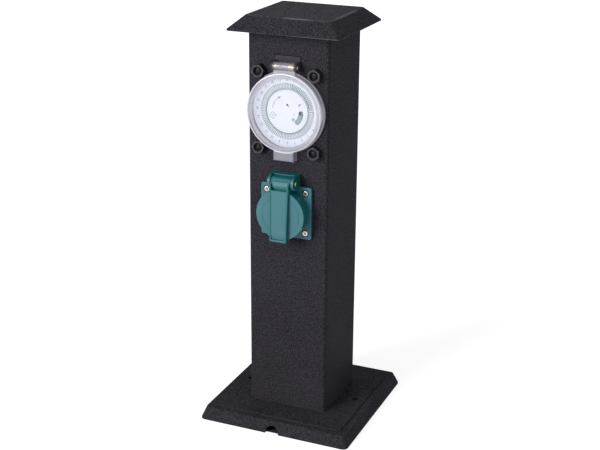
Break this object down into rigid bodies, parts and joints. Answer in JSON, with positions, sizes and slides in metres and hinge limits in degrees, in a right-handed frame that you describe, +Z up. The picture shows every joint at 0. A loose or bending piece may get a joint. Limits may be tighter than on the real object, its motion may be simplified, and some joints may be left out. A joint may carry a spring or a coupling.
{
  "type": "garden socket post",
  "caption": "Square garden socket post with a roof cap, a dial timer under a clear hinged lid and a panel socket under a sprung lid, on a wide base plate.",
  "frame": {"origin": "centre of the base plate's underside", "axes": "+Z up, towards the roof cap; -Y towards the front, where the timer and the socket are; +X to the right seen from the front"},
  "size_m": [0.152, 0.152, 0.39],
  "materials": {
    "housing_black": "fine textured",
    "inner_black": "moulded",
    "teal_plastic": "semi-gloss",
    "clear_plastic": "clear polycarbonate, slightly smoked",
    "dial_white": "satin, printed numerals",
    "grey_green": "satin",
    "bezel_grey": "satin",
    "nut_black": "moulded",
    "brass": "satin",
    "bright_steel": "zinc plated",
    "spring_steel": "drawn wire",
    "seal_rubber": "soft",
    "works_white": "moulded",
    "works_ceramic": "steatite",
    "motor_steel": "drawn can",
    "gear_white": "acetal",
    "wire_blue": "insulated",
    "wire_brown": "insulated",
    "wire_earth": "green and yellow insulation"
  },
  "bodies": {
    "post": {"base_plate": "housing_black", "inlet_grommet": "seal_rubber", "base_screws": "bright_steel", "column_tube": "housing_black", "roof_cap": "housing_black", "timer_frame": "inner_black", "dial_bezel": "bezel_grey", "timer_gasket": "seal_rubber", "timer_studs": "nut_black", "hex_nuts": "nut_black", "dial_centre": "dial_white", "timer_case": "works_white", "timer_back_cover": "works_white", "case_screws": "bright_steel", "centre_screw": "bright_steel", "timer_motor": "motor_steel", "motor_screws": "bright_steel", "microswitch": "inner_black", "lever_pin": "bright_steel", "timer_blades": "brass", "push_on_connectors": "brass", "timer_hinge_pin": "brass", "timer_hinge_bushes": "brass", "timer_lid_spring": "spring_steel", "socket_body": "teal_plastic", "flange_gasket": "seal_rubber", "flange_screws": "bright_steel", "socket_insert": "works_ceramic", "earth_clips": "brass", "socket_contacts": "brass", "shutter_spring": "spring_steel", "socket_rear_cover": "works_white", "contact_terminals": "brass", "terminal_screws": "bright_steel", "socket_hinge_pin": "brass", "socket_lid_spring": "spring_steel", "terminal_block": "works_white", "terminal_clamps": "brass", "block_screws": "bright_steel", "neutral_wires": "wire_blue", "live_wires": "wire_brown", "earth_wire": "wire_earth"},
    "timer_cover": {"timer_lid": "clear_plastic", "timer_lid_seal": "seal_rubber"},
    "socket_cover": {"socket_lid": "teal_plastic", "socket_lid_seal": "seal_rubber"},
    "dial": {"dial_ring": "dial_white", "tappets": "grey_green"},
    "tappet": {"sample_tappet": "grey_green"},
    "override": {"override_switch": "grey_green"},
    "reduction": {"reduction_gear": "gear_white"},
    "rotor": {"motor_pinion": "brass"},
    "lever": {"switch_lever": "gear_white"},
    "contact_shutter": {"shutter": "works_white"}
  },
  "joints": [
    {"name": "timer_lid_hinge", "type": "hinge", "parent": "post", "child": "timer_cover", "pos_m": [0, -0.046, 0.348], "axis": [-1, 0, 0], "range_deg": [0, 110], "stiffness_Nm_per_rad": 0.006, "springref_deg": -20.05},
    {"name": "socket_lid_hinge", "type": "hinge", "parent": "post", "child": "socket_cover", "pos_m": [0, -0.05, 0.2432], "axis": [-1, 0, 0], "range_deg": [0, 100], "stiffness_Nm_per_rad": 0.006, "springref_deg": -20.05},
    {"name": "dial_turn", "type": "hinge", "parent": "post", "child": "dial", "pos_m": [0, -0.038, 0.3065], "axis": [0, 1, 0], "continuous": true},
    {"name": "reduction_gear_turn", "type": "hinge", "parent": "post", "child": "reduction", "pos_m": [-0.0164, -0.033, 0.3229], "axis": [0, 1, 0], "continuous": true},
    {"name": "motor_pinion_turn", "type": "hinge", "parent": "post", "child": "rotor", "pos_m": [-0.01004, -0.028, 0.31654], "axis": [0, 1, 0], "continuous": true},
    {"name": "tappet_slide", "type": "slide", "parent": "dial", "child": "tappet", "axis": [0, -1, 0], "range_m": [0, 0.0007]},
    {"name": "override_switch_turn", "type": "hinge", "parent": "post", "child": "override", "pos_m": [0, -0.038, 0.3065], "axis": [0, -1, 0], "range_deg": [0, 14]},
    {"name": "switch_lever_rock", "type": "hinge", "parent": "post", "child": "lever", "pos_m": [0.0065, -0.0333, 0.2841], "axis": [0, 0, -1], "range_deg": [0, 2.4], "stiffness_Nm_per_rad": 0.01, "springref_deg": -5.73},
    {"name": "shutter_turn", "type": "hinge", "parent": "post", "child": "contact_shutter", "pos_m": [0, -0.0325, 0.2135], "axis": [0, 1, 0], "range_deg": [0, 40], "stiffness_Nm_per_rad": 0.0005, "springref_deg": -17.19}
  ],
  "couplings": [
    {"joint": "reduction_gear_turn", "follows": "dial_turn", "ratio": 6.8},
    {"joint": "motor_pinion_turn", "follows": "dial_turn", "ratio": -13.6}
  ]
}
